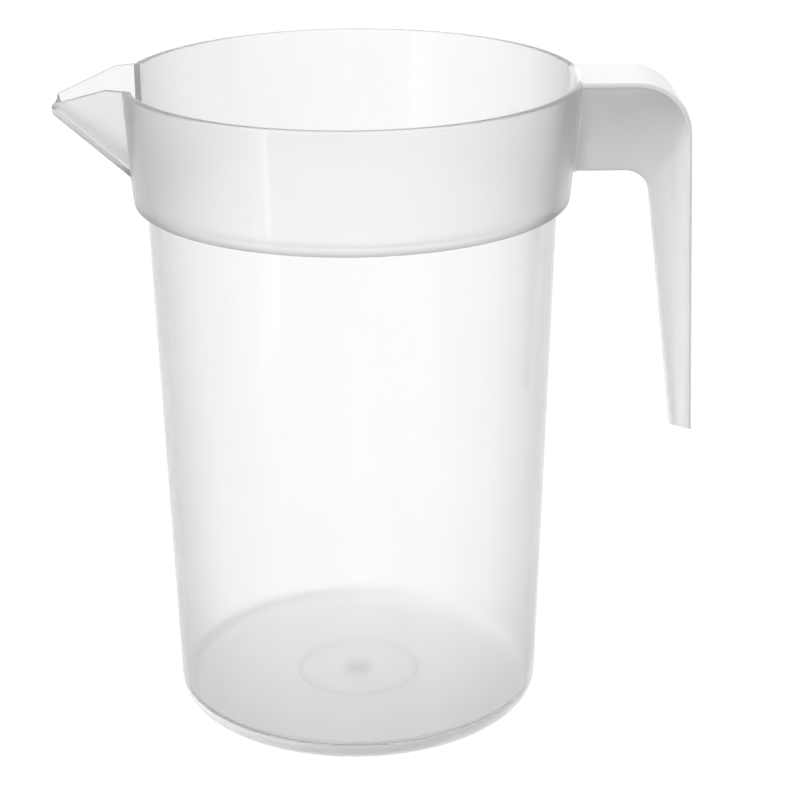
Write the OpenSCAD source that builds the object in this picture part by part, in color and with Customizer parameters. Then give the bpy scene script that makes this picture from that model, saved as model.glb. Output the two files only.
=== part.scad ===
// Beer pitcher: one translucent moulding, drawn as the sections that its own lines divide it into.
// Millimetres. The origin lies on the body's axis in the plane that it stands on, with +Z up,
// the handle towards +X and the spout towards -X.

/* [Vessel] */
// Height from the table to the rim
height = 205; // [195:1:220]
// Outer diameter of the rim
rim_d = 141.7; // [139:0.1:146]
// Height of the wide collar band at the top
collar_h = 37.5; // [34:0.1:45]
// Outer diameter of the collar at its lower edge
collar_base_d = 134.7; // [131:0.1:137]
// Outer diameter of the body just under the collar
body_top_d = 126.7; // [122:0.1:129]
// Outer diameter of the body at its base
body_base_d = 116.5; // [108:0.1:121]
// Thickness of the vessel's wall
wall = 2.4; // [1.4:0.1:2.8]
// Height of the plain lip at the rim
rim_h = 3; // [2:0.1:5]
// Rounding of the rim's two edges
rim_round = 0.7; // [0.3:0.05:0.9]
// Rounding of the step's lower outer edge
step_round = 0.6; // [0.3:0.1:1.2]

/* [Base] */
// Thickness of the floor
floor_t = 3; // [2.4:0.1:4]
// Height of the floor's underside above the table
foot_h = 1.5; // [1:0.1:2.5]
// Width of the flat ring that the base stands on
foot_w = 3; // [2:0.1:6]
// Radius of the rounded corner between the base and the body
base_round = 6.2; // [5:0.1:7]
// Radius of the corner inside, between the floor and the wall
floor_fillet = 2.6; // [2:0.1:4]
// Diameter of the shallow recess under the floor
recess_d = 39; // [25:0.5:60]
// Depth of that recess
recess_t = 1; // [0.7:0.05:1.2]
// Diameter of the moulding gate's stub in the recess
gate_d = 8; // [4:0.5:12]
// Height of the gate's stub
gate_h = 0.6; // [0.3:0.05:0.65]

/* [Spout] */
// How far the pouring lip stands out from the rim
spout_reach = 19.5; // [14:0.5:26]
// How far the pouring lip lies below the rim
spout_drop = 6.4; // [4:0.1:9]
// Depth of the spout's root below the rim
spout_depth = 28; // [24:0.5:30]
// Width of the pouring lip
spout_lip_w = 16.5; // [12:0.5:20]
// Width of the spout at the rim
spout_mouth_w = 41; // [34:0.5:46]
// Width of the spout at the foot of its root
spout_root_w = 26; // [22:0.5:30]
// Level stretch of the spout's top edge, from the rim outwards
spout_level = 2.2; // [1:0.1:5]
// Thickness of the spout's cheeks, along Y
cheek_t = 2.2; // [1.6:0.1:3]
// Upright thickness of the spout's floor
spout_floor_t = 2.5; // [2:0.1:3.2]
// Height of the cheeks at the pouring lip
cheek_end_h = 0.8; // [0.5:0.1:1.5]

/* [Handle] */
// How far the handle's back stands out from the rim, at the top
handle_reach = 31.6; // [28:0.1:38]
// Height of the handle, from the rim to its lower end
handle_drop = 114.5; // [95:0.5:130]
// Angle by which the grip leans outwards
grip_lean = 2.4; // [0:0.1:4]
// Width of the handle's outer strip at the arm
strip_w = 25.5; // [20:0.5:30]
// Width of the outer strip at the lower end of the grip
strip_end_w = 13.5; // [11:0.5:19]
// Thickness of the outer strip
strip_t = 3.2; // [2.4:0.1:4]
// Thickness of the web inside the strip
web_t = 3.2; // [2.4:0.1:5]
// Depth of the arm, from the rim to the web's lower edge
arm_depth = 30.7; // [26:0.1:34]
// Depth of the grip where the arm meets it
grip_depth = 12.6; // [11:0.1:16]
// Depth of the grip at its lower end
grip_end_depth = 6.2; // [5:0.1:9]
// Outer radius of the handle's bend
bend_round = 17; // [12:0.5:18]
// Radius of the inner corner between arm and grip
crook_round = 7.5; // [4:0.5:8]

/* [Hidden] */
$fn = 96;
milky = [0.9, 0.92, 0.93];
// Facets along each rounded corner of an outline
arc_steps = 14;
// Overshoot of a cutting shape past the face that it cuts
past = 4;

rim_r = rim_d / 2;
step_z = height - collar_h;
collar_base_r = collar_base_d / 2;
body_top_r = body_top_d / 2;
body_base_r = body_base_d / 2;
floor_top = foot_h + floor_t;
fillet_z = floor_top + floor_fillet;
pan_h = max(fillet_z, base_round) + 0.4;
ledge_top = step_z + wall;
lip_z = height - rim_h;

// Outer radius of the body's wall and of the collar at a height
function body_r(z) = body_base_r + (body_top_r - body_base_r) * z / step_z;
function collar_r(z) = collar_base_r + (rim_r - collar_base_r) * (z - step_z) / collar_h;

// Points of an arc about a centre, from one angle to another
function arc(centre, r, from, to) = [
    for (i = [0 : arc_steps])
        let (a = from + (to - from) * i / arc_steps)
            [centre[0] + r * cos(a), centre[1] + r * sin(a)]
];

spout_root = collar_base_r;
spout_end = rim_r + spout_reach;
spout_knee = rim_r + spout_level;
spout_in = min(spout_root, rim_r) - 4 * wall;
lip_top = height - spout_drop;
root_low = height - spout_depth;
lip_low = lip_top - cheek_end_h - spout_floor_t;

// Heights of the spout's underside, its floor and its top edge at a distance from the axis
function under(u) = root_low + (lip_low - root_low) * (u - spout_root) / (spout_end - spout_root);
function bed(u) = under(u) + spout_floor_t;
function brim(u) = u <= spout_knee ? height
    : height - spout_drop * (u - spout_knee) / (spout_end - spout_knee);

// The cheeks are planes: their half width grows evenly with height and towards the root
cheek_rise = (spout_mouth_w - spout_root_w) / 2 / spout_depth;
cheek_run = ((spout_mouth_w - spout_lip_w) / 2 - cheek_rise * spout_drop) / (spout_end - spout_root);
function half_w(u, z) = spout_lip_w / 2 + cheek_run * (spout_end - u) + cheek_rise * (z - lip_top);

spout_stations = [spout_in, spout_knee, spout_end];
function floor_ring(u) = [
    [-u, -half_w(u, under(u)), under(u)], [-u, half_w(u, under(u)), under(u)],
    [-u, half_w(u, bed(u)), bed(u)], [-u, -half_w(u, bed(u)), bed(u)]
];
function cheek_ring(u) = [
    [-u, half_w(u, bed(u)) - cheek_t, bed(u)], [-u, half_w(u, bed(u)), bed(u)],
    [-u, half_w(u, brim(u)), brim(u)], [-u, half_w(u, brim(u)) - cheek_t, brim(u)]
];
function envelope_ring(u, top) = [
    [-u, -half_w(u, under(u)), under(u)], [-u, half_w(u, under(u)), under(u)],
    [-u, half_w(u, top), top], [-u, -half_w(u, top), top]
];

back_x = rim_r + handle_reach;
grip_end_z = height - handle_drop;
function back_at(z) = back_x + (height - z) * tan(grip_lean);
crook_z = height - arm_depth;
crook_x = back_at(crook_z) - grip_depth;
grip_end_x = back_at(grip_end_z) - grip_end_depth;
inner_lean = atan((grip_end_x - crook_x) / (crook_z - grip_end_z));
bend = [back_x - bend_round * (1 - sin(grip_lean)) / cos(grip_lean), height - bend_round];
crook = [crook_x - crook_round * (1 - sin(inner_lean)) / cos(inner_lean), crook_z - crook_round];
// The arm is straight up to here, and the grip goes on from it
arm_end = min(bend[0], crook[0]);
// Inner face of the strip's grip at a height
function strip_face(z) = back_at(z) - strip_t / cos(grip_lean);

// Solid through three or more four-point rings, in the order of the list
module loft(rings) {
    n = len(rings);
    sides = [
        for (i = [0 : n - 2], k = [0 : 3])
            [4 * i + k, 4 * i + (k + 1) % 4, 4 * i + 4 + (k + 1) % 4, 4 * i + 4 + k]
    ];
    ends = [[3, 2, 1, 0], [4 * n - 4, 4 * n - 3, 4 * n - 2, 4 * n - 1]];
    polyhedron([for (ring = rings) each ring], concat(sides, ends));
}

// All that the spout takes up, from inside the vessel to the lip and on past the rim's height
module spout_envelope() {
    over = height + past;
    loft([for (u = spout_stations) envelope_ring(u, over)]);
}

// The hollow inside the collar, with its clear way down to the floor, which the spout stops at
module collar_hollow() {
    translate([0, 0, step_z])
        cylinder(h = collar_h, r1 = collar_base_r - wall, r2 = rim_r - wall);
    translate([0, 0, floor_top])
        cylinder(h = step_z - floor_top, r = collar_base_r - wall);
}

// The collar's outside, which the handle butts against
module collar_outside() {
    translate([0, 0, step_z])
        cylinder(h = collar_h, r1 = collar_base_r, r2 = rim_r);
}

// A side outline of the handle given its thickness across, centred on the handle's plane
module plate(thickness) {
    rotate([90, 0, 0])
        linear_extrude(height = thickness, center = true)
            children();
}

// Floor held clear of the table by a foot ring, with the start of the wall round it
module base_pan() {
    corner = [body_r(base_round) - base_round, base_round];
    inside = [body_r(fillet_z) - wall - floor_fillet, fillet_z];
    foot_r = corner[0] - foot_w;
    recess_r = recess_d / 2;
    color(milky)
        rotate_extrude()
            polygon(concat(
                [[0, foot_h + recess_t], [recess_r, foot_h + recess_t], [recess_r, foot_h]],
                [[foot_r, foot_h], [foot_r, 0]],
                arc(corner, base_round, -90, 0),
                [[body_r(pan_h), pan_h], [body_r(pan_h) - wall, pan_h]],
                arc(inside, floor_fillet, 0, -90),
                [[0, floor_top]]
            ));
}

// Stub that the moulding gate leaves, inside the recess and clear of the table
module gate_stub() {
    color(milky)
        translate([0, 0, foot_h + recess_t - gate_h])
            cylinder(h = gate_h, d1 = gate_d - gate_h, d2 = gate_d);
}

// Tapered wall from the base up to the step
module body_wall() {
    color(milky)
        rotate_extrude()
            polygon([
                [body_r(pan_h) - wall, pan_h], [body_r(pan_h), pan_h],
                [body_top_r, step_z], [body_top_r - wall, step_z]
            ]);
}

// Ledge by which the wall widens into the collar, with a rounded lower edge
module step_ledge() {
    edge = [collar_base_r - step_round, step_z + step_round];
    color(milky)
        rotate_extrude()
            polygon(concat(
                [[body_top_r - wall, step_z]],
                arc(edge, step_round, -90, 0),
                [[collar_r(ledge_top), ledge_top], [body_top_r - wall, ledge_top]]
            ));
}

// Wide band above the step, cut away where the spout passes through
module collar_band() {
    color(milky)
        difference() {
            rotate_extrude()
                polygon([
                    [collar_r(ledge_top) - wall, ledge_top], [collar_r(ledge_top), ledge_top],
                    [collar_r(lip_z), lip_z], [collar_r(lip_z) - wall, lip_z]
                ]);
            spout_envelope();
        }
}

// Plain lip with its two edges rounded, cut away where the spout passes through
module rim_lip() {
    outer = [rim_r - rim_round, height - rim_round];
    inner = [rim_r - wall + rim_round, height - rim_round];
    color(milky)
        difference() {
            rotate_extrude()
                polygon(concat(
                    [[collar_r(lip_z) - wall, lip_z], [collar_r(lip_z), lip_z]],
                    arc(outer, rim_round, 0, 90),
                    arc(inner, rim_round, 90, 180)
                ));
            spout_envelope();
        }
}

// Sloping bed of the spout, from the vessel's inner face out to the blunt pouring lip
module spout_floor() {
    color(milky)
        difference() {
            loft([for (u = spout_stations) floor_ring(u)]);
            collar_hollow();
        }
}

// Side of the spout towards +Y, standing on its bed
module spout_cheek_right() {
    color(milky)
        difference() {
            loft([for (u = spout_stations) cheek_ring(u)]);
            collar_hollow();
        }
}

// Side of the spout towards -Y
module spout_cheek_left() {
    mirror([0, 1, 0])
        spout_cheek_right();
}

// Level part of the handle's outer strip, flush with the rim
module handle_arm_strip() {
    color(milky)
        difference() {
            plate(strip_w)
                polygon([
                    [collar_base_r - wall, height - strip_t], [arm_end, height - strip_t],
                    [arm_end, height], [collar_base_r - wall, height]
                ]);
            collar_outside();
        }
}

// Bent and hanging part of the outer strip, which narrows towards its lower end
module handle_grip_strip() {
    color(milky)
        intersection() {
            plate(strip_w)
                polygon(concat(
                    [[arm_end, height - strip_t], [arm_end, height]],
                    arc(bend, bend_round, 90, grip_lean),
                    [[back_at(grip_end_z), grip_end_z], [strip_face(grip_end_z), grip_end_z]],
                    arc(bend, bend_round - strip_t, grip_lean, 90)
                ));
            translate([arm_end - past, 0, 0])
                rotate([90, 0, 90])
                    linear_extrude(height = back_at(grip_end_z) - arm_end + 2 * past)
                        polygon([
                            [-strip_end_w / 2, grip_end_z], [strip_end_w / 2, grip_end_z],
                            [strip_w / 2, bend[1]], [strip_w / 2, height],
                            [-strip_w / 2, height], [-strip_w / 2, bend[1]]
                        ]);
        }
}

// Upright web under the arm, from the collar to the bend
module handle_arm_web() {
    color(milky)
        difference() {
            plate(web_t)
                polygon([
                    [collar_base_r - wall, crook_z], [arm_end, crook_z],
                    [arm_end, height - strip_t], [collar_base_r - wall, height - strip_t]
                ]);
            collar_outside();
        }
}

// Upright web inside the grip, with the rounded inner corner that the fingers close on
module handle_grip_web() {
    color(milky)
        plate(web_t)
            polygon(concat(
                [[arm_end, crook_z]],
                arc(crook, crook_round, 90, inner_lean),
                [[grip_end_x, grip_end_z], [strip_face(grip_end_z), grip_end_z]],
                arc(bend, bend_round - strip_t, grip_lean, 90),
                [[arm_end, height - strip_t]]
            ));
}

base_pan();
gate_stub();
body_wall();
step_ledge();
collar_band();
rim_lip();
spout_floor();
spout_cheek_left();
spout_cheek_right();
handle_arm_strip();
handle_grip_strip();
handle_arm_web();
handle_grip_web();
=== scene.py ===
"""A translucent moulded pitcher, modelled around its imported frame."""

import math

import bmesh
import bpy
from bpy.props import FloatProperty, FloatVectorProperty, IntProperty, PointerProperty
from mathutils import Matrix, Quaternion, Vector


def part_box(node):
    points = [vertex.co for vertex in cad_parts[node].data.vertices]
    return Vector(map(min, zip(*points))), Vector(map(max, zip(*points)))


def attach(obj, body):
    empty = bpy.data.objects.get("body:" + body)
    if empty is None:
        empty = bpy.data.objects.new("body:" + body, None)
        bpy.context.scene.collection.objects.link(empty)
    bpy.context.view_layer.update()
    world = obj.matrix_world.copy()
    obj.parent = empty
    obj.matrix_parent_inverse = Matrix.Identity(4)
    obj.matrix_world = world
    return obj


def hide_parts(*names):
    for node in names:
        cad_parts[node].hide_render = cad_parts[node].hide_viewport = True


bl_info = {
    "name": "Translucent Pitcher",
    "version": (1, 0, 0),
    "blender": (4, 5, 0),
    "location": "3D View > Sidebar > Pitcher",
    "description": "Models a moulded pitcher with its spout, handle, plastic and stage",
    "category": "Object",
}

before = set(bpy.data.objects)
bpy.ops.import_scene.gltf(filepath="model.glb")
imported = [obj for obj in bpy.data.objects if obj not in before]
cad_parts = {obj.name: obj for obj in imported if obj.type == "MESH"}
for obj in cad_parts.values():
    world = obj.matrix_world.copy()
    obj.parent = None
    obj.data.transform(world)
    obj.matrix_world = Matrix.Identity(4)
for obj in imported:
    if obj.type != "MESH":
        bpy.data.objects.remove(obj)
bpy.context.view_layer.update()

MM = 0.001
# Distance within which points count as being in one place or plane
NEAR = 0.01 * MM
# Least part of its normal along an axis, on a face that counts as square to that axis
SQUARE_ON = 0.9
BODY_NAME = "root"

# Lowest and highest corners of the sections that the visible pieces stand for
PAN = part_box("base_pan")
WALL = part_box("body_wall")
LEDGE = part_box("step_ledge")
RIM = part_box("rim_lip")
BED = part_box("spout_floor")
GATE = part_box("gate_stub")
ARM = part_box("handle_arm_strip")
ARM_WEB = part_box("handle_arm_web")
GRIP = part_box("handle_grip_strip")

HEIGHT = RIM[1].z
RIM_R = RIM[1].x
STEP_Z = LEDGE[0].z
LEDGE_TOP = LEDGE[1].z
SPOUT_END = -BED[0].x
HANDLE_BACK = GRIP[1].x
GRIP_END_Z = GRIP[0].z


def length(name, description, default):
    """A size in metres, shown in the scene's own unit."""
    return FloatProperty(
        name=name, description=description, default=default, min=0.0, unit="LENGTH", precision=5
    )


def share(name, description, default):
    """A value from 0 to 1."""
    return FloatProperty(
        name=name, description=description, default=default, min=0.0, max=1.0, subtype="FACTOR"
    )


def angle(name, description, degrees):
    """An angle, given in degrees."""
    return FloatProperty(name=name, description=description, default=math.radians(degrees), subtype="ANGLE")


def strength(name, description, default):
    """A lamp's strength, in watts per square metre."""
    return FloatProperty(name=name, description=description, default=default, min=0.0)


def position(name, description, default):
    """A place on the stage."""
    return FloatVectorProperty(name=name, description=description, default=default, subtype="TRANSLATION")


def colour(name, description, default):
    """A linear colour."""
    return FloatVectorProperty(
        name=name, description=description, default=default, size=3, min=0.0, max=1.0, subtype="COLOR"
    )


class VesselSizes(bpy.types.PropertyGroup):
    """Sizes of the vessel that the frame's boxes don't give"""

    wall: length("Wall", "Thickness of the vessel's wall", 2.4 * MM)
    floor: length("Floor", "Thickness of the floor", 3 * MM)
    foot: length("Foot", "Height of the floor's underside above the table", 1.5 * MM)
    foot_width: length("Foot Width", "Width of the flat ring that the base stands on", 3 * MM)
    base_round: length("Base Round", "Radius of the corner between base and body", 6.2 * MM)
    floor_fillet: length("Floor Fillet", "Radius of the corner inside, round the floor", 2.6 * MM)
    recess: length("Recess", "Radius of the recess under the floor", 19.5 * MM)
    recess_depth: length("Recess Depth", "Depth of the recess under the floor", 1 * MM)
    step_round: length("Step Round", "Rounding of the step's lower outer edge", 0.6 * MM)
    step_fillet: length("Step Fillet", "Radius below the step and of the ledge's inner edge", 0.4 * MM)
    ledge_fillet: length("Ledge Fillet", "Radius of the corner inside, between ledge and collar", 0.3 * MM)
    rim_round: length("Rim Round", "Rounding of the rim's two edges", 0.9 * MM)
    turns: IntProperty(name="Turns", description="Faces round the vessel", default=192, min=32)


class SpoutSizes(bpy.types.PropertyGroup):
    """Sizes of the pouring spout"""

    lip_width: length("Lip Width", "Width of the pouring lip", 16.5 * MM)
    mouth_width: length("Mouth Width", "Width of the spout at the rim", 41 * MM)
    root_width: length("Root Width", "Width of the spout at the foot of its root", 26 * MM)
    depth: length("Depth", "Depth of the spout's root below the rim", 28 * MM)
    drop: length("Drop", "How far the pouring lip lies below the rim", 6.4 * MM)
    level: length("Level", "Level stretch of the top edge, from the rim outwards", 2.2 * MM)
    lip_height: length("Lip Height", "Height of the cheeks at the pouring lip", 0.8 * MM)
    cheek: length("Cheek", "Thickness of the cheeks, across the spout", 2.2 * MM)
    bed: length("Bed", "Upright thickness of the spout's floor", 2.5 * MM)
    keel_round: length("Keel Round", "Rounding of the two lower edges", 1.3 * MM)
    edge_round: length("Edge Round", "Rounding of the free upper edges", 0.45 * MM)


class GateSizes(bpy.types.PropertyGroup):
    """Sizes of the gate's stub that the frame's boxes don't give"""

    sunk: length("Sunk", "How far the stub reaches into the floor", 0.15 * MM)
    taper: share("Taper", "Share of its width that the stub keeps at its free end", 0.93)
    ring: length("Ring", "Width of the flat ring round the stub's hollow", 1.2 * MM)
    slope: length("Slope", "Width of the hollow's sloping side", 0.6 * MM)
    hollow: length("Hollow", "Depth of the hollow in the stub's free end", 0.25 * MM)
    edge_round: length("Edge Round", "Rounding of the stub's edges", 0.12 * MM)
    turns: IntProperty(name="Turns", description="Faces round the stub", default=64, min=16)


class HandleSizes(bpy.types.PropertyGroup):
    """Sizes of the handle that the frame's boxes don't give"""

    lean: angle("Lean", "Angle by which the grip leans outwards", 2.4)
    bend: length("Bend", "Outer radius of the handle's bend", 17 * MM)
    crook: length("Crook", "Radius of the corner that the fingers close on", 7.5 * MM)
    grip_depth: length("Grip Depth", "Depth of the grip where the arm meets it", 12.6 * MM)
    end_depth: length("End Depth", "Depth of the grip at its lower end", 6.2 * MM)
    end_width: length("End Width", "Width of the strip at its lower end", 13.5 * MM)
    edge: length("Edge", "Thickness of the strip at its two edges", 2 * MM)
    edge_round: length("Edge Round", "Rounding of the strip's outer edges", 0.8 * MM)
    lower_round: length("Lower Round", "Rounding of the strip's inner edges", 0.5 * MM)
    end_share: share("End Share", "Share of its thickness that the strip keeps at the lower end", 0.5)
    flare: share("Flare", "Share of the grip's depth over which its sides sweep in", 0.42)
    end_swell: length("End Swell", "How much thicker each side of the web gets at the lower end", 1.6 * MM)
    end_round: length("End Round", "Rounding of the lower end's edges", 0.5 * MM)
    web_round: length("Web Round", "Rounding of the web's free edge", 1.3 * MM)
    root_fillet: length("Root Fillet", "Radius by which the web widens into the collar", 3 * MM)


class FinishSettings(bpy.types.PropertyGroup):
    """Colours and clarity of the plastic, and the painted shade at the wall's foot"""

    wall_face: colour("Wall", "Colour of the body's wall seen square on", (0.995, 0.995, 0.995))
    wall_edge: colour("Wall Edge", "Colour of the body's wall seen along it", (0.73, 0.73, 0.735))
    collar_face: colour("Collar", "Colour of the collar seen square on", (0.97, 0.97, 0.97))
    collar_edge: colour("Collar Edge", "Colour of the collar seen along it", (0.5, 0.5, 0.505))
    inside_face: colour("Inside", "Colour of the collar's inside seen square on", (0.995, 0.995, 1.0))
    inside_edge: colour("Inside Edge", "Colour of the collar's inside seen along it", (0.76, 0.76, 0.765))
    ledge_face: colour("Ledge", "Colour of the ledge seen square on", (0.8, 0.8, 0.805))
    ledge_edge: colour("Ledge Edge", "Colour of the ledge seen along it", (0.94, 0.94, 0.945))
    heel_face: colour("Heel", "Colour of the heel seen square on", (0.8, 0.8, 0.805))
    heel_edge: colour("Heel Edge", "Colour of the heel seen along it", (0.97, 0.97, 0.975))
    base_face: colour("Base", "Colour of the floor seen square on", (0.92, 0.92, 0.925))
    base_edge: colour("Base Edge", "Colour of the floor seen along it", (0.88, 0.88, 0.885))
    handle_face: colour("Handle", "Colour of the handle seen square on", (0.95, 0.95, 0.955))
    handle_edge: colour("Handle Edge", "Colour of the handle seen along it", (0.97, 0.97, 0.975))
    wall_clear: share("Wall Clarity", "Share of light that passes the body's wall", 0.985)
    collar_clear: share("Collar Clarity", "Share of light that passes the collar", 0.94)
    ledge_clear: share("Ledge Clarity", "Share of light that passes the ledge and the heel", 0.25)
    base_clear: share("Base Clarity", "Share of light that passes the floor", 0.75)
    ring_tone: share("Ring Tone", "Share of its colour that the floor keeps along its recess's edge", 0.62)
    ring_width: length("Ring Width", "Distance over which the recess's edge fades away", 0.9 * MM)
    gate_tone: share("Gate Tone", "Share of its colour that the floor keeps above the gate's stub", 0.75)
    # Painted shade: the body's outer face darkens towards its foot, over the height below
    painted_foot_shade: share("Painted Foot Shade", "Share of its colour that the body's wall keeps at its foot", 0.62)
    painted_foot_shade_height: length("Painted Foot Shade Height", "Height over which the wall darkens towards its foot", 60 * MM)
    handle_clear: share("Handle Clarity", "Share of light that passes the handle", 0.2)
    step_tone: share("Step Tone", "Share of its colour that the collar keeps at the step", 0.45)
    step_depth: length("Step Depth", "Height over which the collar darkens towards the step", 3 * MM)
    haze: share("Haze", "Roughness of the thicker parts under their gloss", 0.38)
    roughness: share("Roughness", "Roughness of the moulded surface", 0.12)
    skin: share("Skin", "Weight of the glossy skin over the haze", 0.6)
    skin_roughness: share("Skin Roughness", "Roughness of the glossy skin", 0.08)
    flow: share("Flow", "Strength of the flow marks", 0.05)
    ripple: share("Ripple", "Strength of the mould's ripple", 0.06)
    ripple_depth: length("Ripple Depth", "Depth of the mould's ripple", 0.4 * MM)
    ior: FloatProperty(name="IOR", description="Refractive index of the plastic", default=1.49, min=1.0)


class StageSettings(bpy.types.PropertyGroup):
    """Camera, lamps and floor"""

    lens: FloatProperty(
        name="Lens", description="Focal length on the camera's sensor", default=105.2, unit="CAMERA"
    )
    pitch: angle("Pitch", "Angle by which the camera looks down", 20.584)
    yaw: angle("Yaw", "Angle by which the camera turns right", 1.174)
    roll: angle("Roll", "Angle by which the camera tips", -0.327)
    camera_place: position("Camera Place", "Place of the camera", (0.0, -0.70134, 0.36258))
    key_strength: strength("Key", "Strength of the soft light on the left", 3.5)
    key_place: position("Key Place", "Where the soft light on the left comes from", (-0.57, -0.29, 0.91))
    fill_strength: strength("Fill", "Strength of the soft light on the right", 1.1)
    fill_place: position("Fill Place", "Where the soft light on the right comes from", (1.0, -0.1, 0.3))
    spread: angle("Spread", "Angle that each soft light fills", 45.0)
    strip_power: FloatProperty(
        name="Strip", description="Power of the upright strip lamp", default=0.07, unit="POWER"
    )
    strip_place: position("Strip Place", "Place of the strip lamp", (-0.234, -0.296, 0.16))
    strip_tilt: angle("Strip Tilt", "Angle by which the strip lamp leans", -7.0)
    strip_width: length("Strip Width", "Width of the strip lamp", 20 * MM)
    strip_height: length("Strip Height", "Height of the strip lamp", 360 * MM)
    floor_size: length("Floor Size", "Width of the stage's floor", 6000 * MM)
    floor_gap: length("Floor Gap", "How far the stage's floor lies below the pitcher", 0.05 * MM)


class PitcherSettings(bpy.types.PropertyGroup):
    """All the settings of the pitcher"""

    vessel: PointerProperty(type=VesselSizes)
    spout: PointerProperty(type=SpoutSizes)
    gate: PointerProperty(type=GateSizes)
    handle: PointerProperty(type=HandleSizes)
    finish: PointerProperty(type=FinishSettings)
    stage: PointerProperty(type=StageSettings)


# Shared modelling steps


def deselect():
    """Leaves edit mode and selects nothing."""
    if bpy.context.mode != "OBJECT":
        bpy.ops.object.mode_set(mode="OBJECT")
    bpy.ops.object.select_all(action="DESELECT")


def activate(obj):
    """Makes one object the selected and active one."""
    deselect()
    obj.select_set(True)
    bpy.context.view_layer.objects.active = obj


def arc(centre, radius, start, stop, steps=10):
    """Points (across, up) round a centre, from one angle to another, in degrees."""
    angles = [math.radians(start + (stop - start) * i / steps) for i in range(steps + 1)]
    return [(centre[0] + radius * math.cos(a), centre[1] + radius * math.sin(a)) for a in angles]


def draw_outline(name, places):
    """A new object in edit mode, with a chain of edges through its points."""
    deselect()
    bpy.ops.mesh.primitive_plane_add(size=2 * MM)
    obj = bpy.context.object
    obj.name = name
    obj.data.name = name
    bpy.ops.object.mode_set(mode="EDIT")
    bpy.ops.mesh.select_mode(type="VERT")
    bpy.ops.mesh.select_all(action="SELECT")
    bpy.ops.mesh.merge(type="CENTER")
    bpy.ops.transform.translate(value=places[0])
    for before, after in zip(places, places[1:]):
        bpy.ops.mesh.extrude_region_move(TRANSFORM_OT_translate={"value": after - before})
    return obj


def pick(obj, test, kind="verts"):
    """In edit mode, selects the vertices, edges or faces that pass the test, and says how many."""
    bpy.ops.mesh.select_mode(type={"verts": "VERT", "edges": "EDGE", "faces": "FACE"}[kind])
    bpy.ops.mesh.select_all(action="DESELECT")
    mesh = bmesh.from_edit_mesh(obj.data)
    found = [part for part in getattr(mesh, kind) if test(part)]
    for part in found:
        part.select_set(True)
    mesh.select_flush_mode()
    bmesh.update_edit_mesh(obj.data)
    return len(found)


def close_up():
    """Merges doubled points and turns all faces outwards."""
    bpy.ops.mesh.select_mode(type="VERT")
    bpy.ops.mesh.select_all(action="SELECT")
    bpy.ops.mesh.remove_doubles(threshold=0.002 * MM)
    bpy.ops.mesh.normals_make_consistent(inside=False)
    bpy.ops.object.mode_set(mode="OBJECT")


def carve_block(name, low, high, planes):
    """A block between two corners, cut by planes given as (point, normal towards the side that goes)."""
    deselect()
    middle = (Vector(low) + Vector(high)) / 2
    bpy.ops.mesh.primitive_cube_add(size=1.0, location=middle)
    obj = bpy.context.object
    obj.name = name
    obj.data.name = name
    obj.scale = Vector(high) - Vector(low)
    bpy.ops.object.transform_apply(location=True, rotation=True, scale=True)
    bpy.ops.object.mode_set(mode="EDIT")
    for point, normal in planes:
        bpy.ops.mesh.select_all(action="SELECT")
        bpy.ops.mesh.bisect(plane_co=point, plane_no=normal, use_fill=True, clear_outer=True)
    close_up()
    return obj


def turn_solid(name, points, turns):
    """A solid of revolution about the Z axis from an outline that starts and ends on the axis."""
    obj = draw_outline(name, [Vector((across, 0.0, up)) for across, up in points])
    bpy.ops.mesh.select_all(action="SELECT")
    bpy.ops.mesh.spin(steps=turns, angle=math.tau, center=(0, 0, 0), axis=(0, 0, 1), use_auto_merge=True)
    close_up()
    return obj


def loft_solid(name, rings):
    """A solid drawn out through rings of as many points each, every ring extruded from the one before."""
    obj = draw_outline(name, rings[0])
    bpy.ops.mesh.select_all(action="SELECT")
    bpy.ops.mesh.edge_face_add()
    for before, after in zip(rings, rings[1:]):
        bpy.ops.mesh.extrude_region_move()
        mesh = bmesh.from_edit_mesh(obj.data)
        for vert in [vert for vert in mesh.verts if vert.select]:
            nearest = min(range(len(before)), key=lambda i: (before[i] - vert.co).length)
            vert.co = after[nearest]
        bmesh.update_edit_mesh(obj.data)
    close_up()
    return obj


def combine(obj, tool, operation):
    """Joins or cuts one closed object with another, which is used up."""
    activate(obj)
    bpy.ops.object.modifier_add(type="BOOLEAN")
    modifier = obj.modifiers[-1]
    modifier.operation = operation
    modifier.solver = "EXACT"
    modifier.object = tool
    bpy.ops.object.modifier_apply(modifier=modifier.name)
    bpy.data.objects.remove(tool)
    if not obj.data.polygons:
        raise RuntimeError(f"{obj.name} is empty after {operation.lower()}")


def drop_slivers(obj):
    """Dissolves the edges and faces without length or area that joining and cutting leave."""
    activate(obj)
    bpy.ops.object.mode_set(mode="EDIT")
    bpy.ops.mesh.select_all(action="SELECT")
    bpy.ops.mesh.dissolve_degenerate(threshold=NEAR)
    bpy.ops.mesh.select_all(action="SELECT")
    bpy.ops.mesh.delete_loose()
    bpy.ops.object.mode_set(mode="OBJECT")


def soften(obj, width, segments, least_angle):
    """Rounds every edge sharper than an angle, given in degrees."""
    activate(obj)
    bpy.ops.object.modifier_add(type="BEVEL")
    modifier = obj.modifiers[-1]
    modifier.width = width
    modifier.segments = segments
    modifier.limit_method = "ANGLE"
    modifier.angle_limit = math.radians(least_angle)
    modifier.use_clamp_overlap = True
    bpy.ops.object.modifier_apply(modifier=modifier.name)


def finish_piece(obj, materials, nodes, smooth=28):
    """Shades a piece, gives it its materials and ties it to the frame."""
    activate(obj)
    bpy.ops.object.shade_smooth_by_angle(angle=math.radians(smooth))
    bpy.ops.object.modifier_add(type="WEIGHTED_NORMAL")
    weighted = obj.modifiers[-1]
    weighted.keep_sharp = True
    bpy.ops.object.modifier_apply(modifier=weighted.name)
    obj.data.materials.clear()
    for material in materials:
        obj.data.materials.append(material)
    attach(obj, BODY_NAME)
    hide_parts(*nodes)


# Plastic


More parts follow.
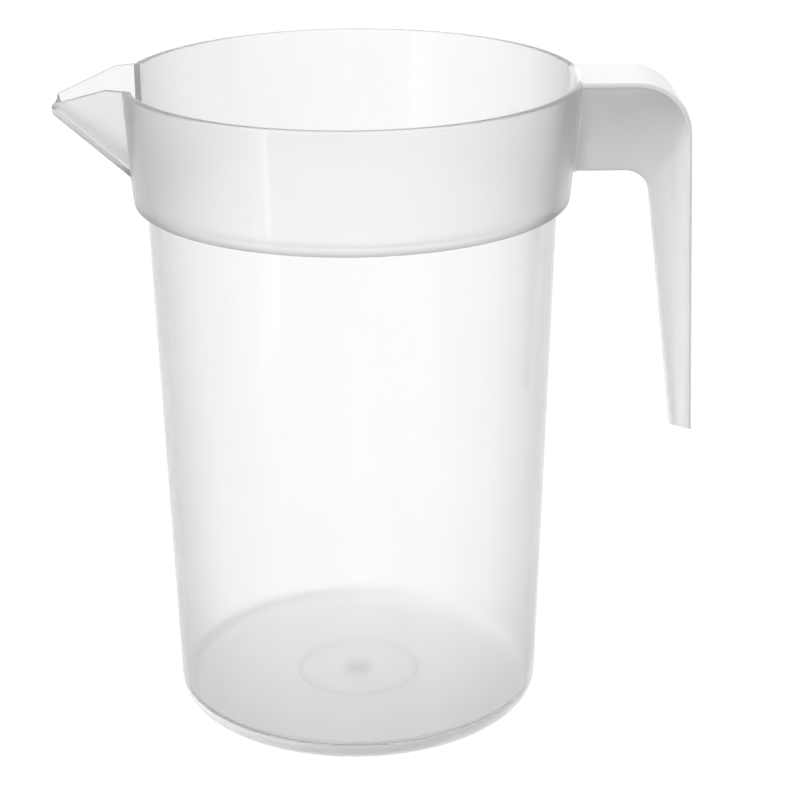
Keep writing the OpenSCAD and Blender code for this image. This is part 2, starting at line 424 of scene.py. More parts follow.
# Shares of the lamps' light that pass the thin walls, the ledge and heel, the floor and the handle
WALL_LIGHT = 0.93
LEDGE_LIGHT = 0.85
FLOOR_LIGHT = 0.8
HANDLE_LIGHT = 0.2

# Axes of a fade that follows the height, and of one that follows the distance from the vessel's axis
UPWARDS = (0.0, 0.0, 1.0)
OUTWARDS = (1.0, 1.0, 0.0)


def moulded_surface_group():
    """Node group for moulded plastic: faint flow marks, cloudy roughness and a slight ripple."""
    name = "Moulded Surface"
    if name in bpy.data.node_groups:
        return bpy.data.node_groups[name]
    group = bpy.data.node_groups.new(name, "ShaderNodeTree")
    for label in ("Roughness", "Flow"):
        group.interface.new_socket(label, in_out="INPUT", socket_type="NodeSocketFloat")
    for label in ("Tone", "Roughness", "Height"):
        group.interface.new_socket(label, in_out="OUTPUT", socket_type="NodeSocketFloat")
    nodes, links = group.nodes, group.links
    given = nodes.new("NodeGroupInput")
    result = nodes.new("NodeGroupOutput")
    place = nodes.new("ShaderNodeTexCoord")

    def noise(label, scale, stretch, detail):
        """A noise texture whose pattern is stretched along the axes."""
        mapping = nodes.new("ShaderNodeMapping")
        mapping.inputs["Scale"].default_value = stretch
        texture = nodes.new("ShaderNodeTexNoise")
        texture.label = label
        texture.inputs["Scale"].default_value = scale
        texture.inputs["Detail"].default_value = detail
        links.new(place.outputs["Object"], mapping.inputs["Vector"])
        links.new(mapping.outputs["Vector"], texture.inputs["Vector"])
        return texture.outputs["Fac"]

    flow = noise("Flow marks along the wall", 55.0, (1.0, 1.0, 0.12), 3.0)
    cloud = noise("Clouds in the gloss", 38.0, (1.0, 1.0, 1.0), 4.0)
    ripple = noise("Ripple of the mould", 70.0, (1.0, 1.0, 0.5), 2.0)

    centred = nodes.new("ShaderNodeMath")
    centred.operation = "SUBTRACT"
    centred.inputs[1].default_value = 0.5
    links.new(flow, centred.inputs[0])
    tone = nodes.new("ShaderNodeMath")
    tone.operation = "MULTIPLY_ADD"
    tone.inputs[2].default_value = 1.0
    links.new(centred.outputs[0], tone.inputs[0])
    links.new(given.outputs["Flow"], tone.inputs[1])
    links.new(tone.outputs[0], result.inputs["Tone"])

    spread = nodes.new("ShaderNodeMapRange")
    spread.inputs["To Min"].default_value = 0.8
    spread.inputs["To Max"].default_value = 1.2
    links.new(cloud, spread.inputs["Value"])
    rough = nodes.new("ShaderNodeMath")
    rough.operation = "MULTIPLY"
    links.new(spread.outputs["Result"], rough.inputs[0])
    links.new(given.outputs["Roughness"], rough.inputs[1])
    links.new(rough.outputs[0], result.inputs["Roughness"])
    links.new(ripple, result.inputs["Height"])
    return group


# How much of its edge colour a wall shows, from seen square on to seen along it, where it brightens again
EDGE_SHARES = ((0.0, 0.0), (0.2, 0.08), (0.38, 0.27), (0.72, 1.0), (0.84, 0.45), (1.0, 0.4))
COLLAR_SHARES = ((0.0, 0.0), (0.2, 0.12), (0.38, 0.4), (0.66, 1.0), (0.84, 0.8), (1.0, 0.7))
BASE_SHARES = ((0.0, 0.0), (0.2, 0.12), (0.4, 0.6), (0.58, 1.0), (0.71, 0.45), (1.0, 0.4))

# Inputs of a fade, in the order in which they are given
FADE_INPUTS = ("Axes", "Middle", "Start", "Stop", "Start Tone", "Stop Tone")


def thickness_and_shade_fade_group():
    """Node group for a tone that changes on both sides of a middle distance, along the axes that count; it
    serves for thicker plastic and for the painted shade at the wall's foot.
    """
    name = "Thickness Fade"
    if name in bpy.data.node_groups:
        return bpy.data.node_groups[name]
    group = bpy.data.node_groups.new(name, "ShaderNodeTree")
    group.interface.new_socket("Axes", in_out="INPUT", socket_type="NodeSocketVector")
    for label in FADE_INPUTS[1:]:
        group.interface.new_socket(label, in_out="INPUT", socket_type="NodeSocketFloat")
    group.interface.new_socket("Tone", in_out="OUTPUT", socket_type="NodeSocketFloat")
    nodes, links = group.nodes, group.links
    given = nodes.new("NodeGroupInput")
    result = nodes.new("NodeGroupOutput")
    place = nodes.new("ShaderNodeTexCoord")
    along = nodes.new("ShaderNodeVectorMath")
    along.operation = "MULTIPLY"
    distance = nodes.new("ShaderNodeVectorMath")
    distance.operation = "LENGTH"
    beyond = nodes.new("ShaderNodeMath")
    beyond.operation = "SUBTRACT"
    off_middle = nodes.new("ShaderNodeMath")
    off_middle.operation = "ABSOLUTE"
    fade = nodes.new("ShaderNodeMapRange")
    fade.interpolation_type = "SMOOTHSTEP"
    links.new(place.outputs["Object"], along.inputs[0])
    links.new(given.outputs["Axes"], along.inputs[1])
    links.new(along.outputs["Vector"], distance.inputs[0])
    links.new(distance.outputs["Value"], beyond.inputs[0])
    links.new(given.outputs["Middle"], beyond.inputs[1])
    links.new(beyond.outputs[0], off_middle.inputs[0])
    links.new(off_middle.outputs[0], fade.inputs["Value"])
    links.new(given.outputs["Start"], fade.inputs["From Min"])
    links.new(given.outputs["Stop"], fade.inputs["From Max"])
    links.new(given.outputs["Start Tone"], fade.inputs["To Min"])
    links.new(given.outputs["Stop Tone"], fade.inputs["To Max"])
    links.new(fade.outputs["Result"], result.inputs["Tone"])
    return group


def times(nodes, links, colour_socket, tone_socket):
    """A colour multiplied by a tone."""
    product = nodes.new("ShaderNodeMix")
    product.data_type = "RGBA"
    product.blend_type = "MULTIPLY"
    product.inputs["Factor"].default_value = 1.0
    links.new(colour_socket, product.inputs["A"])
    links.new(tone_socket, product.inputs["B"])
    return product.outputs["Result"]


def milky_plastic(name, finish, face, edge, clear, lamp_light, fades=(), haze=0.0, shares=EDGE_SHARES):
    """See-through plastic that darkens where it is seen along its wall, and lets some lamp light through.

    A fade is given by its inputs in order. It tints the light that enters the plastic, and not the light
    that leaves it. Haze blurs what shows through, under a glossy skin.
    """
    if name in bpy.data.materials:
        return bpy.data.materials[name]
    material = bpy.data.materials.new(name)
    material.use_nodes = True
    nodes, links = material.node_tree.nodes, material.node_tree.links
    nodes.clear()
    output = nodes.new("ShaderNodeOutputMaterial")
    plastic = nodes.new("ShaderNodeBsdfPrincipled")
    plastic.inputs["Transmission Weight"].default_value = clear
    plastic.inputs["IOR"].default_value = finish.ior
    plastic.inputs["Metallic"].default_value = 0.0
    if haze:
        plastic.inputs["Coat Weight"].default_value = finish.skin
        plastic.inputs["Coat Roughness"].default_value = finish.skin_roughness

    surface = nodes.new("ShaderNodeGroup")
    surface.node_tree = moulded_surface_group()
    surface.inputs["Roughness"].default_value = max(finish.roughness, haze)
    surface.inputs["Flow"].default_value = finish.flow
    links.new(surface.outputs["Roughness"], plastic.inputs["Roughness"])

    bump = nodes.new("ShaderNodeBump")
    bump.inputs["Strength"].default_value = finish.ripple
    bump.inputs["Distance"].default_value = finish.ripple_depth
    links.new(surface.outputs["Height"], bump.inputs["Height"])
    links.new(bump.outputs["Normal"], plastic.inputs["Normal"])

    facing = nodes.new("ShaderNodeLayerWeight")
    facing.inputs["Blend"].default_value = 0.5
    shade = nodes.new("ShaderNodeValToRGB")
    stops = shade.color_ramp.elements
    for place, _ in shares[1:-1]:
        stops.new(place)
    for stop, (_, part) in zip(stops, shares):
        stop.color = (*(Vector(face).lerp(Vector(edge), part)), 1.0)
    links.new(facing.outputs["Facing"], shade.inputs["Fac"])
    tint = times(nodes, links, shade.outputs["Color"], surface.outputs["Tone"])
    # Fades tint thicker plastic, and at the wall's foot they paint shade
    for fade in fades:
        fading = nodes.new("ShaderNodeGroup")
        fading.node_tree = thickness_and_shade_fade_group()
        for label, value in zip(FADE_INPUTS, fade):
            fading.inputs[label].default_value = value
        entering = nodes.new("ShaderNodeMix")
        entering.inputs["B"].default_value = 1.0
        side = nodes.new("ShaderNodeNewGeometry")
        links.new(side.outputs["Backfacing"], entering.inputs["Factor"])
        links.new(fading.outputs["Tone"], entering.inputs["A"])
        tint = times(nodes, links, tint, entering.outputs["Result"])
    links.new(tint, plastic.inputs["Base Color"])

    light_path = nodes.new("ShaderNodeLightPath")
    through = nodes.new("ShaderNodeBsdfTransparent")
    through.inputs["Color"].default_value = (lamp_light, lamp_light, lamp_light, 1.0)
    either = nodes.new("ShaderNodeMixShader")
    links.new(light_path.outputs["Is Shadow Ray"], either.inputs["Fac"])
    links.new(plastic.outputs["BSDF"], either.inputs[1])
    links.new(through.outputs["BSDF"], either.inputs[2])
    links.new(either.outputs["Shader"], output.inputs["Surface"])
    return material


def wall_plastic(name, finish, fades=()):
    """The body's thin, clearer wall."""
    face, edge, clear = finish.wall_face, finish.wall_edge, finish.wall_clear
    return milky_plastic(name, finish, face, edge, clear, WALL_LIGHT, fades)


def wall_outside_plastic(finish):
    """The body's outer face, with painted shade that darkens it downwards towards its foot."""
    # Painted shade towards the foot, tinting only light that enters through the outer face
    fades = [(UPWARDS, 0.0, 0.0, finish.painted_foot_shade_height, finish.painted_foot_shade, 1.0)]
    return wall_plastic("Wall Outside", finish, fades)


def wall_inside_plastic(finish):
    """The body's inner face."""
    return wall_plastic("Wall Inside", finish)


def collar_outside_plastic(finish):
    """The collar's hazier outer face, which darkens where the wall runs into the step."""
    fades = [(UPWARDS, STEP_Z, 0.0, finish.step_depth, finish.step_tone, 1.0)]
    face, edge, clear = finish.collar_face, finish.collar_edge, finish.collar_clear
    return milky_plastic(
        "Collar Outside", finish, face, edge, clear, WALL_LIGHT, fades, finish.haze, COLLAR_SHARES
    )


def collar_inside_plastic(finish):
    """The collar's inner face, the spout's channel and the gate's stub."""
    face, edge = finish.inside_face, finish.inside_edge
    return milky_plastic("Collar Inside", finish, face, edge, finish.collar_clear, WALL_LIGHT)


def ledge_plastic(finish):
    """The ledge's top, where the plastic is thick and milky."""
    face, edge = finish.ledge_face, finish.ledge_edge
    return milky_plastic("Ledge", finish, face, edge, finish.ledge_clear, LEDGE_LIGHT)


def heel_plastic(finish):
    """The rounded heel, as milky as the ledge."""
    face, edge = finish.heel_face, finish.heel_edge
    return milky_plastic("Heel", finish, face, edge, finish.ledge_clear, LEDGE_LIGHT)


def base_plastic(finish, recess):
    """The floor, where the plastic is thickest, darker at the gate's stub and the recess's edge."""
    stub = GATE[1].x
    fades = [(OUTWARDS, 0.0, 0.5 * stub, 1.7 * stub, finish.gate_tone, 1.0)]
    fades += [(OUTWARDS, recess, 0.0, finish.ring_width, finish.ring_tone, 1.0)]
    face, edge, clear = finish.base_face, finish.base_edge, finish.base_clear
    return milky_plastic("Floor", finish, face, edge, clear, FLOOR_LIGHT, fades, finish.haze, BASE_SHARES)


def handle_plastic(finish):
    """The handle, the milkiest part."""
    face, edge = finish.handle_face, finish.handle_edge
    return milky_plastic("Handle Plastic", finish, face, edge, finish.handle_clear, HANDLE_LIGHT)


# Vessel


def collar_radius(up):
    """Outer radius of the collar at a height."""
    low, high = LEDGE[1].x, RIM_R
    return low + (high - low) * (up - LEDGE_TOP) / (HEIGHT - LEDGE_TOP)


def body_radius(up):
    """Outer radius of the body's wall at a height."""
    low, high = PAN[1].x, WALL[1].x
    return low + (high - low) * (up - PAN[1].z) / (STEP_Z - PAN[1].z)


def floor_top(sizes):
    """Height of the floor's upper face."""
    return sizes.foot + sizes.floor


def vessel_outline(sizes):
    """The vessel's section, from the axis under the floor round the wall to the axis inside."""
    wall, rim, fillet, step = sizes.wall, sizes.rim_round, sizes.step_fillet, sizes.step_round
    corner, inner, ledge = sizes.base_round, sizes.floor_fillet, sizes.ledge_fillet
    under = sizes.foot
    heel = body_radius(corner) - corner
    roof = under + sizes.recess_depth
    points = [(0.0, roof), (sizes.recess, roof), (sizes.recess, under)]
    points += [(heel - sizes.foot_width, under), (heel - sizes.foot_width, 0.0)]
    points += arc((heel, corner), corner, -90, 0, 14)
    points += arc((body_radius(STEP_Z) + fillet, STEP_Z - fillet), fillet, 180, 90, 6)
    points += arc((collar_radius(STEP_Z) - step, STEP_Z + step), step, -90, 0, 10)
    points += arc((RIM_R - rim, HEIGHT - rim), rim, 0, 90, 7)
    points += arc((RIM_R - wall + rim, HEIGHT - rim), rim, 90, 180, 7)
    points += arc((collar_radius(LEDGE_TOP) - wall - ledge, LEDGE_TOP + ledge), ledge, 0, -90, 10)
    points += arc((body_radius(STEP_Z) - wall + fillet, LEDGE_TOP - fillet), fillet, 90, 180, 6)
    bottom = floor_top(sizes) + inner
    points += arc((body_radius(bottom) - wall - inner, bottom), inner, 0, -90, 10)
    return points + [(0.0, floor_top(sizes))]


def spout_planes(sizes, inset, lift):
    """Planes of the spout's cheeks and bed, moved inwards and upwards."""
    root, end = collar_radius(STEP_Z), SPOUT_END
    lip_top = HEIGHT - sizes.drop
    root_low = HEIGHT - sizes.depth
    lip_low = lip_top - sizes.lip_height - sizes.bed
    rise = (sizes.mouth_width - sizes.root_width) / 2 / sizes.depth
    run = ((sizes.mouth_width - sizes.lip_width) / 2 - rise * sizes.drop) / (end - root)
    slope = (lip_low - root_low) / (end - root)
    half = sizes.lip_width / 2 - inset
    return [
        ((-end, half, lip_top), (-run, 1.0, -rise)),
        ((-end, -half, lip_top), (-run, -1.0, -rise)),
        ((-end, 0.0, lip_low + lift), (-slope, 0.0, -1.0)),
    ]


def spout_outside(sizes):
    """The spout as a full block, from inside the collar to its lip, with rounded lower edges."""
    knee = RIM_R + sizes.level
    fall = sizes.drop / (SPOUT_END - knee)
    reach = sizes.mouth_width
    low = (-SPOUT_END, -reach, HEIGHT - 2 * sizes.depth)
    high = (-RIM_R + reach / 2, reach, HEIGHT)
    planes = spout_planes(sizes, 0.0, 0.0) + [((-knee, 0.0, HEIGHT), (-fall, 0.0, 1.0))]
    block = carve_block("spout_outside", low, high, planes)
    round_lengthwise(block, planes[2], sizes.keel_round)
    return block


def spout_inside(sizes):
    """The channel that the drink runs through, open upwards and at the lip."""
    reach = sizes.mouth_width
    low = (-SPOUT_END - sizes.depth, -reach, HEIGHT - 2 * sizes.depth)
    high = (-RIM_R + reach / 2, reach, HEIGHT + sizes.depth)
    planes = spout_planes(sizes, sizes.cheek, sizes.bed)
    block = carve_block("spout_inside", low, high, planes)
    round_lengthwise(block, planes[2], sizes.keel_round)
    return block


def round_lengthwise(block, bed, radius):
    """Rounds a block's edges that run outwards along the plane of its bed."""
    point, normal = Vector(bed[0]), Vector(bed[1]).normalized()

    def runs_along(edge):
        on_bed = all(abs((v.co - point).dot(normal)) < NEAR for v in edge.verts)
        return on_bed and abs(edge.verts[0].co.x - edge.verts[1].co.x) > 5 * MM

    activate(block)
    bpy.ops.object.mode_set(mode="EDIT")
    if pick(block, runs_along, "edges") != 2:
        raise RuntimeError(f"{block.name} has no pair of lower edges")
    bpy.ops.mesh.bevel(offset=radius, segments=4, affect="EDGES")
    bpy.ops.object.mode_set(mode="OBJECT")


def round_free_edges(spout, radius):
    """Rounds the edges round the tops of the spout's cheeks and round its pouring lip."""

    def is_free(edge):
        outside = any(Vector(v.co.xy).length > RIM_R for v in edge.verts)
        ends = any(max(face.normal.z, -face.normal.x) > SQUARE_ON for face in edge.link_faces)
        return outside and ends and edge.calc_face_angle(0.0) > math.radians(50)

    activate(spout)
    bpy.ops.object.mode_set(mode="EDIT")
    if not pick(spout, is_free, "edges"):
        raise RuntimeError("The spout has no free edges")
    bpy.ops.mesh.bevel(offset=radius, segments=3, affect="EDGES")
    bpy.ops.object.mode_set(mode="OBJECT")


def vessel_hollow(sizes):
    """The room inside the collar, with a clear way down, as a cutting shape."""
    below, above = STEP_Z / 2, 1.1 * HEIGHT
    low, high = collar_radius(STEP_Z) - sizes.wall, collar_radius(above) - sizes.wall
    points = [(0.0, below), (low, below), (low, STEP_Z), (high, above), (0.0, above)]
    return turn_solid("vessel_hollow", points, sizes.turns)


def plastic_index(face, sizes):
    """Which plastic a face has.

    0 and 1 are the wall outside and inside, 2 and 3 the collar, 4 the floor, 5 the ledge and 6 the heel.
    """
    up = face.center.z
    outwards = Vector((face.center.x, face.center.y, 0.0)).normalized()
    if up < floor_top(sizes) + sizes.floor_fillet:
        return 6 if face.normal.dot(outwards) > 0.05 else 4
    if abs(up - LEDGE_TOP) < 0.1 * MM and face.normal.z > SQUARE_ON:
        return 5
    inside = face.normal.dot(outwards) < 0
    return int(inside) + 2 * int(up > STEP_Z - sizes.step_fillet)


class PITCHER_OT_vessel(bpy.types.Operator):
    """Turns the vessel and joins the pouring spout to its collar, through which the spout's channel is cut
    """

    bl_idname = "pitcher.vessel"
    bl_label = "Vessel and Spout"

    def execute(self, context):
        settings = context.scene.pitcher
        vessel = turn_solid("vessel", vessel_outline(settings.vessel), settings.vessel.turns)
        spout = spout_outside(settings.spout)
        combine(spout, vessel_hollow(settings.vessel), "DIFFERENCE")
        combine(spout, spout_inside(settings.spout), "DIFFERENCE")
        round_free_edges(spout, settings.spout.edge_round)
        combine(vessel, spout_inside(settings.spout), "DIFFERENCE")
        combine(vessel, spout, "UNION")
        drop_slivers(vessel)
        finish = settings.finish
        materials = [wall_outside_plastic(finish), wall_inside_plastic(finish)]
        materials += [collar_outside_plastic(finish), collar_inside_plastic(finish)]
        materials += [base_plastic(finish, settings.vessel.recess)]
        materials += [ledge_plastic(finish), heel_plastic(finish)]
        nodes = ["base_pan", "body_wall", "step_ledge", "collar_band", "rim_lip"]
        nodes += ["spout_floor", "spout_cheek_left", "spout_cheek_right"]
        finish_piece(vessel, materials, nodes)
        for face in vessel.data.polygons:
            face.material_index = plastic_index(face, settings.vessel)
        return {"FINISHED"}


# Gate


class PITCHER_OT_gate(bpy.types.Operator):
    """Makes the stub that the moulding gate leaves under the floor"""

    bl_idname = "pitcher.gate"
    bl_label = "Gate Stub"

    def execute(self, context):
        settings = context.scene.pitcher
        sizes = settings.gate
        low, top = GATE[0].z, GATE[1].z + sizes.sunk
        deselect()
        bpy.ops.mesh.primitive_cylinder_add(
            vertices=sizes.turns, radius=GATE[1].x, depth=top - low, location=(0.0, 0.0, (low + top) / 2)
        )
        stub = bpy.context.object
        stub.name = stub.data.name = "gate_stub_mark"
        bpy.ops.object.transform_apply(location=True)
        bpy.ops.object.mode_set(mode="EDIT")
        pick(stub, lambda face: face.normal.z < -SQUARE_ON, "faces")
        bpy.ops.transform.resize(value=(sizes.taper, sizes.taper, 1.0), center_override=(0.0, 0.0, low))
        bpy.ops.mesh.inset(thickness=sizes.ring, depth=0.0)
        bpy.ops.mesh.inset(thickness=sizes.slope, depth=-sizes.hollow)
        bpy.ops.object.mode_set(mode="OBJECT")
        soften(stub, sizes.edge_round, 2, 40)
        finish_piece(stub, [collar_inside_plastic(settings.finish)], ["gate_stub"])
        return {"FINISHED"}


# Handle


# Distances from the collar, as parts of the root's fillet, at which the handle's section is drawn
ROOT_PARTS = (0.03, 0.12, 0.28, 0.48, 0.72, 1.0)
# Steps along the hollow sweep of the handle's sides
SWEEP_STEPS = 10


def handle_back(up, sizes):
    """How far out the back of the grip lies at a height."""
    return HANDLE_BACK - (up - GRIP_END_Z) * math.tan(sizes.lean)


def bend_centre(sizes):
    """Centre of the handle's outer bend, as (across, up)."""
    lean = sizes.lean
    across = handle_back(HEIGHT, sizes) - sizes.bend * (1 - math.sin(lean)) / math.cos(lean)
    return across, HEIGHT - sizes.bend


def root_across(sizes, up):
    """How far out the handle's root starts, well inside the collar's wall."""
    return collar_radius(up) - 0.8 * sizes.wall


def handle_lines(sizes, vessel):
    """Matching points (across, up) of the handle's outer face and free edge, from the root downwards."""
    low = ARM_WEB[0].z
    crook_x = handle_back(low, sizes) - sizes.grip_depth
    end_x = handle_back(GRIP_END_Z, sizes) - sizes.end_depth
    inner_lean = math.atan((end_x - crook_x) / (low - GRIP_END_Z))
    crook = (crook_x - sizes.crook * (1 - math.sin(inner_lean)) / math.cos(inner_lean), low - sizes.crook)
    away = [part * sizes.root_fillet for part in ROOT_PARTS]
    outer = [(root_across(vessel, HEIGHT), HEIGHT)] + [(RIM_R + out, HEIGHT) for out in away]
    outer += arc(bend_centre(sizes), sizes.bend, 90, math.degrees(sizes.lean), 18)
    outer += [(handle_back(GRIP_END_Z, sizes), GRIP_END_Z)]
    inner = [(root_across(vessel, low), low)] + [(collar_radius(low) + out, low) for out in away]
    inner += arc(crook, sizes.crook, 90, math.degrees(inner_lean), 18)
    inner += [(end_x, GRIP_END_Z)]
    return list(zip(outer, inner))


def handle_ring(outer, inner, widen, sizes):
    """The handle's section between two points: a strip whose hollow sides sweep in to a thin free edge."""
    start, stop = Vector((outer[0], 0.0, outer[1])), Vector((inner[0], 0.0, inner[1]))
    depth = (stop - start).length
    inward = (stop - start) / depth
    turn_z = bend_centre(sizes)[1]
    down = max(0.0, (turn_z - outer[1]) / (turn_z - GRIP_END_Z))
    scale = 1 + (sizes.end_share - 1) * down
    half = (ARM[1].y - ARM[0].y) / 2 * (1 - down) + sizes.end_width / 2 * down
    ending = down**3
    web = (ARM_WEB[1].y - ARM_WEB[0].y) / 2 + widen + sizes.end_swell * ending
    thick, upper, lower = (size * scale for size in (sizes.edge, sizes.edge_round, sizes.lower_round))
    free = sizes.web_round
    sweep = half - lower - web
    arm_depth, grip_depth = ARM[1].z - ARM_WEB[0].z, sizes.grip_depth
    arm_part = min(1.0, max(0.0, (depth - grip_depth) / (arm_depth - grip_depth)))
    reach = (depth - thick - free) * (sizes.flare + (1 - sizes.flare) * max(arm_part, ending))
    side = arc((half - upper, upper), upper, -90, 0, 6)
    side += arc((half - lower, thick - lower), lower, 0, 90, 5)
    for step in range(1, SWEEP_STEPS + 1):
        turn = math.pi / 2 * step / SWEEP_STEPS
        hollow = Vector((1 - math.sin(turn), 1 - math.cos(turn)))
        straight = Vector((1 - step / SWEEP_STEPS, step / SWEEP_STEPS))
        part = hollow.lerp(straight, ending)
        side.append((web + sweep * part.x, thick + reach * part.y))
    side += arc((web - free, depth - free), free, 0, 90, 5)[1:]
    section = side + [(-across, deep) for across, deep in reversed(side)]
    return [start + inward * deep + Vector((0.0, across, 0.0)) for across, deep in section]


def root_widening(away, sizes):
    """How much wider the web's half is at a distance from the collar."""
    rest = max(0.0, sizes.root_fillet - away)
    return sizes.root_fillet - math.sqrt(sizes.root_fillet**2 - rest**2)


class PITCHER_OT_handle(bpy.types.Operator):
    """Makes the handle: a wide outer strip whose sides sweep in to a thin web"""

    bl_idname = "pitcher.handle"
    bl_label = "Handle"

    def execute(self, context):
        settings = context.scene.pitcher
        sizes = settings.handle
        lines = handle_lines(sizes, settings.vessel)
        away = [ROOT_PARTS[0] * sizes.root_fillet] + [part * sizes.root_fillet for part in ROOT_PARTS]
        away += [sizes.root_fillet] * (len(lines) - len(away))
        rings = [handle_ring(*pair, root_widening(out, sizes), sizes) for pair, out in zip(lines, away)]
        handle = loft_solid("handle", rings)
        soften(handle, sizes.end_round, 3, 50)
        nodes = ["handle_arm_strip", "handle_grip_strip", "handle_arm_web", "handle_grip_web"]
        finish_piece(handle, [handle_plastic(settings.finish)], nodes)
        return {"FINISHED"}


# Stage


def sight_mask(nodes, links):
    """1 for rays from the camera, also after gloss or clear plastic, and 0 for rays that give light."""
    path = nodes.new("ShaderNodeLightPath")
    camera_or_gloss = nodes.new("ShaderNodeMath")
    camera_or_gloss.operation = "MAXIMUM"
    any_sight = nodes.new("ShaderNodeMath")
    any_sight.operation = "MAXIMUM"
    links.new(path.outputs["Is Camera Ray"], camera_or_gloss.inputs[0])
    links.new(path.outputs["Is Glossy Ray"], camera_or_gloss.inputs[1])
    links.new(camera_or_gloss.outputs[0], any_sight.inputs[0])
    links.new(path.outputs["Is Transmission Ray"], any_sight.inputs[1])
    return any_sight.outputs[0]


# The stage's floor: its paint, its glow to the eye, the glow's share, and its paint for other light
FLOOR_PAINT = (0.9, 0.9, 0.9, 1.0)
FLOOR_GLOW = 1.03
FLOOR_GLOW_SHARE = 0.85
FLOOR_BOUNCE = (0.6, 0.6, 0.6, 1.0)

# Strength of the white room as a light
ROOM_LIGHT = 0.15


def white_floor_material():
    """White floor that shows plain white to the eye and through plastic, with the shadow left on it."""
    material = bpy.data.materials.new("White Floor")
    material.use_nodes = True
    nodes, links = material.node_tree.nodes, material.node_tree.links
    nodes.clear()
    output = nodes.new("ShaderNodeOutputMaterial")
    paint = nodes.new("ShaderNodeBsdfDiffuse")
    paint.inputs["Color"].default_value = FLOOR_PAINT
    glow = nodes.new("ShaderNodeEmission")
    glow.inputs["Strength"].default_value = FLOOR_GLOW
    both = nodes.new("ShaderNodeMixShader")
    both.inputs["Fac"].default_value = FLOOR_GLOW_SHARE
    links.new(paint.outputs["BSDF"], both.inputs[1])
    links.new(glow.outputs["Emission"], both.inputs[2])
    bounce = nodes.new("ShaderNodeBsdfDiffuse")
    bounce.inputs["Color"].default_value = FLOOR_BOUNCE
    either = nodes.new("ShaderNodeMixShader")
    links.new(sight_mask(nodes, links), either.inputs["Fac"])
    links.new(bounce.outputs["BSDF"], either.inputs[1])
    links.new(both.outputs["Shader"], either.inputs[2])
    links.new(either.outputs["Shader"], output.inputs["Surface"])
    return material


def white_world():
    """White to the eye, in gloss and through plastic, and dimmer as a light."""
    world = bpy.data.worlds.new("White Room")
    bpy.context.scene.world = world
    world.use_nodes = True
    nodes, links = world.node_tree.nodes, world.node_tree.links
    nodes.clear()
    output = nodes.new("ShaderNodeOutputWorld")
    seen = nodes.new("ShaderNodeBackground")
    seen.inputs["Color"].default_value = (1.0, 1.0, 1.0, 1.0)
    seen.inputs["Strength"].default_value = 1.0
    light = nodes.new("ShaderNodeBackground")
    light.inputs["Color"].default_value = (1.0, 1.0, 1.0, 1.0)
    light.inputs["Strength"].default_value = ROOM_LIGHT
    either = nodes.new("ShaderNodeMixShader")
    links.new(sight_mask(nodes, links), either.inputs["Fac"])
    links.new(light.outputs["Background"], either.inputs[1])
    links.new(seen.outputs["Background"], either.inputs[2])
    links.new(either.outputs["Shader"], output.inputs["Surface"])


def add_lamp(kind, name, place, tilt=0.0):
    """A lamp that looks at the middle of the pitcher, turned by an angle about its own beam."""
    deselect()
    bpy.ops.object.light_add(type=kind, location=place)
    lamp = bpy.context.object
    lamp.name = lamp.data.name = name
    beam = Vector((0.0, 0.0, HEIGHT / 2)) - Vector(place)
    lamp.rotation_euler = (beam.to_track_quat("-Z", "Y") @ Quaternion((0.0, 0.0, 1.0), tilt)).to_euler()
    lamp.visible_camera = False
    return lamp


def add_soft_light(name, place, energy, spread):
    """A wide, soft light that shows neither in gloss nor through plastic."""
    light = add_lamp("SUN", name, place)
    light.data.energy = energy
    light.data.angle = spread
    light.visible_glossy = False
    light.visible_transmission = False


def add_strip_lamp(stage):
    """An upright strip that shows only as a streak in the gloss."""
    strip = add_lamp("AREA", "strip_left", stage.strip_place, stage.strip_tilt)
    strip.data.shape = "RECTANGLE"
    strip.data.size = stage.strip_width
    strip.data.size_y = stage.strip_height
    strip.data.energy = stage.strip_power
    strip.visible_diffuse = False
    strip.visible_transmission = False


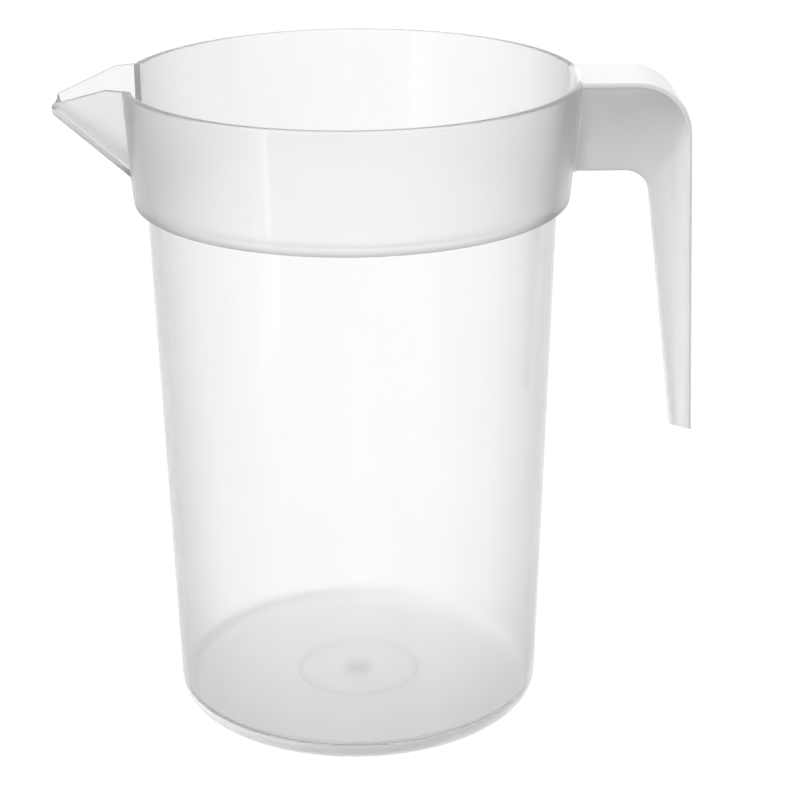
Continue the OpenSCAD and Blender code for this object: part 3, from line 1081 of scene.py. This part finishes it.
class PITCHER_OT_stage(bpy.types.Operator):
    """Sets up the camera, the white floor and the soft lamps"""

    bl_idname = "pitcher.stage"
    bl_label = "Stage"

    def execute(self, context):
        stage = context.scene.pitcher.stage
        context.scene.view_settings.view_transform = "Standard"
        self.add_camera(context, stage)
        deselect()
        bpy.ops.mesh.primitive_plane_add(size=stage.floor_size, location=(0.0, 0.0, -stage.floor_gap))
        floor = bpy.context.object
        floor.name = floor.data.name = "stage_floor"
        bpy.ops.object.transform_apply(location=True)
        floor.data.materials.append(white_floor_material())
        white_world()
        add_soft_light("key_left", stage.key_place, stage.key_strength, stage.spread)
        add_soft_light("fill_right", stage.fill_place, stage.fill_strength, stage.spread)
        add_strip_lamp(stage)
        return {"FINISHED"}

    def add_camera(self, context, stage):
        """Places the camera by its pitch, yaw and roll."""
        deselect()
        bpy.ops.object.camera_add(location=stage.camera_place)
        camera = bpy.context.object
        camera.name = camera.data.name = "photo_camera"
        camera.data.lens = stage.lens
        camera.data.sensor_width = 36.0
        camera.data.clip_start = 0.01
        ahead = Vector((
            math.sin(stage.yaw) * math.cos(stage.pitch),
            math.cos(stage.yaw) * math.cos(stage.pitch),
            -math.sin(stage.pitch),
        ))
        level = Vector((math.cos(stage.yaw), -math.sin(stage.yaw), 0.0))
        upright = level.cross(ahead)
        right = level * math.cos(stage.roll) + upright * math.sin(stage.roll)
        up = upright * math.cos(stage.roll) - level * math.sin(stage.roll)
        camera.rotation_euler = Matrix((right, up, -ahead)).transposed().to_euler()
        context.scene.camera = camera


class PITCHER_PT_panel(bpy.types.Panel):
    """Lists the pieces and their settings"""

    bl_idname = "PITCHER_PT_panel"
    bl_label = "Pitcher"
    bl_space_type = "VIEW_3D"
    bl_region_type = "UI"
    bl_category = "Pitcher"

    def draw(self, context):
        settings = context.scene.pitcher
        for operator in OPERATORS:
            self.layout.operator(operator.bl_idname)
        for group in ("vessel", "spout", "gate", "handle", "finish", "stage"):
            box = self.layout.box()
            box.label(text=group.title())
            values = getattr(settings, group)
            for name in values.__annotations__:
                box.prop(values, name)


GROUPS = (
    VesselSizes, SpoutSizes, GateSizes, HandleSizes, FinishSettings, StageSettings, PitcherSettings
)
OPERATORS = (PITCHER_OT_stage, PITCHER_OT_vessel, PITCHER_OT_gate, PITCHER_OT_handle)
CLASSES = GROUPS + OPERATORS + (PITCHER_PT_panel,)


def register():
    for item in CLASSES:
        bpy.utils.register_class(item)
    bpy.types.Scene.pitcher = PointerProperty(type=PitcherSettings)


def unregister():
    del bpy.types.Scene.pitcher
    for item in reversed(CLASSES):
        bpy.utils.unregister_class(item)


def main():
    register()
    bpy.ops.pitcher.stage()
    bpy.ops.pitcher.vessel()
    bpy.ops.pitcher.gate()
    bpy.ops.pitcher.handle()
    deselect()


if __name__ == "__main__":
    main()
